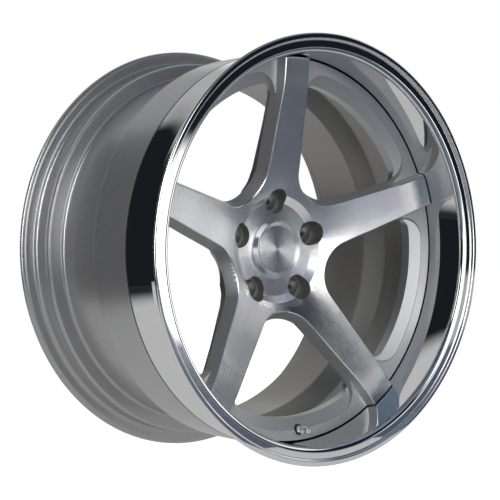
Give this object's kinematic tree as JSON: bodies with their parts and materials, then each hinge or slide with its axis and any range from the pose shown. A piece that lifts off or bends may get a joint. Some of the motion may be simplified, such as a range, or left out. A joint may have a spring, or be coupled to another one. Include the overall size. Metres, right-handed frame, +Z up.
{
  "type": "forged racing wheel rim",
  "caption": "Deep-dish three-piece forged wheel rim with a five-spoke concave centre, polished lip, painted inner barrel, centre cap and tyre valve.",
  "frame": {"origin": "wheel centre: on the wheel's axis, at the middle of the rim width", "axes": "+Y along the axis towards the vehicle, so the spokes' show face looks to -Y; +Z up, +X to the right seen from outboard"},
  "size_m": [0.497, 0.2706, 0.497],
  "materials": {
    "machined_aluminium": "turned face with fine circular lay, satin silver paint on the sides, ring and back",
    "polished_aluminium": "mirror polished",
    "silver_paint": "satin metallic silver paint",
    "sealant": "matt dark brown sealant",
    "bolt_steel": "zinc plated steel",
    "turned_aluminium": "bright turned",
    "radial_brushed_aluminium": "spun, with light sectors",
    "black_rubber": "matt",
    "chromed_brass": "bright",
    "brass": "plain brass",
    "red_gasket": "matt",
    "spring_steel": "bright wire"
  },
  "bodies": {
    "wheel": {"wheel_centre": "machined_aluminium", "outer_rim_half": "polished_aluminium", "inner_rim_half": "silver_paint", "rim_seal": "sealant", "assembly_bolts": "bolt_steel", "assembly_washers": "bolt_steel", "valve_stem": "chromed_brass", "valve_seal": "black_rubber", "valve_washer": "chromed_brass", "valve_nut": "chromed_brass", "valve_grommet": "black_rubber", "valve_core_body": "brass", "valve_core_gasket": "red_gasket", "valve_core_spring": "spring_steel"},
    "cap": {"centre_cap": "turned_aluminium", "cap_disc": "radial_brushed_aluminium", "cap_o_ring": "black_rubber"},
    "valve_core_plunger": {"valve_core_pin": "brass", "valve_core_seat": "black_rubber"},
    "valve_cap_carrier": {"valve_cap_seal": "black_rubber"},
    "valve_cap": {"valve_cap": "chromed_brass"}
  },
  "joints": [
    {"name": "cap_pull", "type": "slide", "parent": "wheel", "child": "cap", "axis": [0, -1, 0], "range_m": [0, 0.02]},
    {"name": "valve_cap_lift", "type": "slide", "parent": "wheel", "child": "valve_cap_carrier", "axis": [0, -1, 0], "range_m": [0, 0.00476]},
    {"name": "valve_cap_turn", "type": "hinge", "parent": "valve_cap_carrier", "child": "valve_cap", "pos_m": [0.00929, -0.0843, -0.2128], "axis": [0, -1, 0], "range_deg": [0, 2160]},
    {"name": "valve_core_press", "type": "slide", "parent": "wheel", "child": "valve_core_plunger", "axis": [0, 1, 0], "range_m": [0, 0.001], "stiffness_N_per_m": 1000, "springref_m": -0.003}
  ],
  "couplings": [
    {"joint": "valve_cap_turn", "follows": "valve_cap_lift", "rad_per_m": 7915.8}
  ]
}
